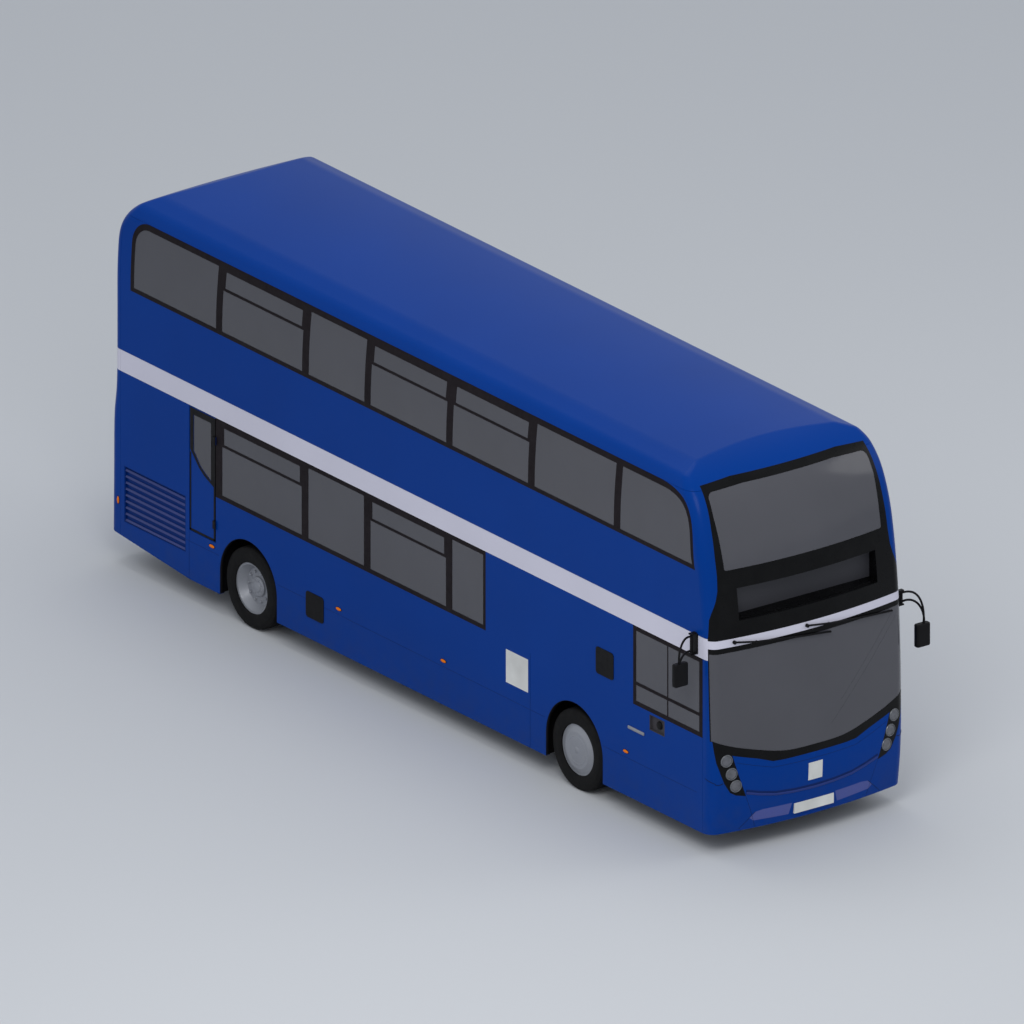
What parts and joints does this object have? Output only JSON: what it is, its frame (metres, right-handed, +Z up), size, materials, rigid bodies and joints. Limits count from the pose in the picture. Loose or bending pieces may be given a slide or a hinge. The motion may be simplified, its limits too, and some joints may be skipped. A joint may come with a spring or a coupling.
{
  "type": "double-decker bus",
  "caption": "Double-decker passenger bus with hollow saloons, glazed sides, steered front wheels, twin rear wheels, opening doors, engine cover and folding mirrors.",
  "frame": {"origin": "on the ground, on the centreline, at half the bus's length", "axes": "+Z up, the front faces -Y, +X is the nearside with the entrance door"},
  "size_m": [3.215, 10.823, 4.257],
  "materials": {
    "body_paint": "gloss coach blue",
    "band_paint": "gloss pale band",
    "mask_black": "gloss black",
    "tinted_glass": "dark tinted",
    "display": "blank display",
    "lamp_black": "dark lamp cluster",
    "lamp_clear": "grey lamp glass",
    "pale_insert": "gloss pale blue",
    "tail_red": "red lens",
    "amber": "amber lens",
    "plate_white": "blank plate",
    "trim_black": "matt black",
    "chassis_steel": "black chassis paint",
    "floor_vinyl": "grey vinyl",
    "engine_iron": "cast",
    "seat_fabric": "woven moquette",
    "cab_plastic": "moulded",
    "tyre": "rubber",
    "wheel_steel": "grey wheel paint"
  },
  "bodies": {
    "bus": {"chassis_rails": "chassis_steel", "cross_members": "chassis_steel", "lower_floor": "floor_vinyl", "upper_floor": "floor_vinyl", "wheel_boxes": "floor_vinyl", "offside_lower_wall": "body_paint", "nearside_lower_wall": "body_paint", "offside_upper_wall": "body_paint", "nearside_upper_wall": "body_paint", "between_decks_band": "band_paint", "roof": "body_paint", "rear_lower_wall": "body_paint", "rear_upper_wall": "body_paint", "front_cowl": "body_paint", "front_mask": "mask_black", "windscreen": "tinted_glass", "upper_windscreen": "tinted_glass", "side_glass": "tinted_glass", "window_frames": "trim_black", "display_tray": "mask_black", "lamp_lenses": "lamp_clear", "side_vents": "trim_black", "destination_display": "display", "headlamps": "lamp_black", "bumper_inserts": "pale_insert", "tail_lamps": "tail_red", "side_markers": "amber", "side_grilles": "trim_black", "number_plates": "plate_white", "wipers": "trim_black", "mirror_brackets": "trim_black", "front_axle": "chassis_steel", "rear_axle": "chassis_steel", "engine": "engine_iron", "staircase": "floor_vinyl", "driver_cab": "cab_plastic", "driver_seat": "seat_fabric", "lower_seats": "seat_fabric", "upper_seats": "seat_fabric"},
    "knuckle_left": {"knuckle_left": "chassis_steel"},
    "knuckle_right": {"knuckle_right": "chassis_steel"},
    "track_rod": {"track_rod": "chassis_steel"},
    "front_wheel_left": {"front_tyre_left": "tyre", "front_wheel_left": "wheel_steel"},
    "front_wheel_right": {"front_tyre_right": "tyre", "front_wheel_right": "wheel_steel"},
    "rear_wheels_left": {"rear_tyres_left": "tyre", "rear_wheels_left": "wheel_steel"},
    "rear_wheels_right": {"rear_tyres_right": "tyre", "rear_wheels_right": "wheel_steel"},
    "door_front": {"door_leaf_front": "trim_black", "door_glass_front": "tinted_glass"},
    "door_rear": {"door_leaf_rear": "trim_black", "door_glass_rear": "tinted_glass"},
    "exit_door": {"exit_door": "body_paint", "exit_door_glass": "tinted_glass"},
    "engine_cover": {"engine_cover": "body_paint"},
    "mirror_offside": {"mirror_offside": "trim_black"},
    "mirror_nearside": {"mirror_nearside": "trim_black"}
  },
  "joints": [
    {"name": "steer_left", "type": "hinge", "parent": "bus", "child": "knuckle_left", "pos_m": [0.98, -2.82, 0.455], "axis": [0, 0, 1], "range_deg": [-40, 40]},
    {"name": "steer_right", "type": "hinge", "parent": "bus", "child": "knuckle_right", "pos_m": [-0.98, -2.82, 0.455], "axis": [0, 0, 1], "range_deg": [-40, 40]},
    {"name": "track_rod_pivot", "type": "hinge", "parent": "knuckle_left", "child": "track_rod", "pos_m": [0.98, -2.68, 0.268], "axis": [0, 0, 1], "range_deg": [-40, 40]},
    {"name": "front_left_spin", "type": "hinge", "parent": "knuckle_left", "child": "front_wheel_left", "pos_m": [1.106, -2.82, 0.455], "axis": [1, 0, 0], "continuous": true},
    {"name": "front_right_spin", "type": "hinge", "parent": "knuckle_right", "child": "front_wheel_right", "pos_m": [-1.106, -2.82, 0.455], "axis": [1, 0, 0], "continuous": true},
    {"name": "rear_left_spin", "type": "hinge", "parent": "bus", "child": "rear_wheels_left", "pos_m": [1.11, 2.93, 0.455], "axis": [1, 0, 0], "continuous": true},
    {"name": "rear_right_spin", "type": "hinge", "parent": "bus", "child": "rear_wheels_right", "pos_m": [-1.11, 2.93, 0.455], "axis": [1, 0, 0], "continuous": true},
    {"name": "door_front_swing", "type": "hinge", "parent": "bus", "child": "door_front", "pos_m": [1.193, -4.905, 1.2], "axis": [0, 0, 1], "range_deg": [0, 88]},
    {"name": "door_rear_swing", "type": "hinge", "parent": "bus", "child": "door_rear", "pos_m": [1.193, -3.615, 1.2], "axis": [0, 0, -1], "range_deg": [0, 88]},
    {"name": "exit_door_swing", "type": "hinge", "parent": "bus", "child": "exit_door", "pos_m": [-1.29, 3.5, 1.5], "axis": [0, 0, 1], "range_deg": [0, 100]},
    {"name": "engine_cover_lift", "type": "hinge", "parent": "bus", "child": "engine_cover", "pos_m": [0, 5.434, 1.264], "axis": [1, 0, 0], "range_deg": [0, 80]},
    {"name": "mirror_offside_fold", "type": "hinge", "parent": "bus", "child": "mirror_offside", "pos_m": [-1.333, -4.96, 2.37], "axis": [0, 0, -1], "range_deg": [-20, 75]},
    {"name": "mirror_nearside_fold", "type": "hinge", "parent": "bus", "child": "mirror_nearside", "pos_m": [1.333, -5.108, 2.3], "axis": [0, 0, 1], "range_deg": [-20, 75]}
  ],
  "couplings": [
    {"joint": "steer_right", "follows": "steer_left", "ratio": 1},
    {"joint": "track_rod_pivot", "follows": "steer_left", "ratio": -1}
  ]
}
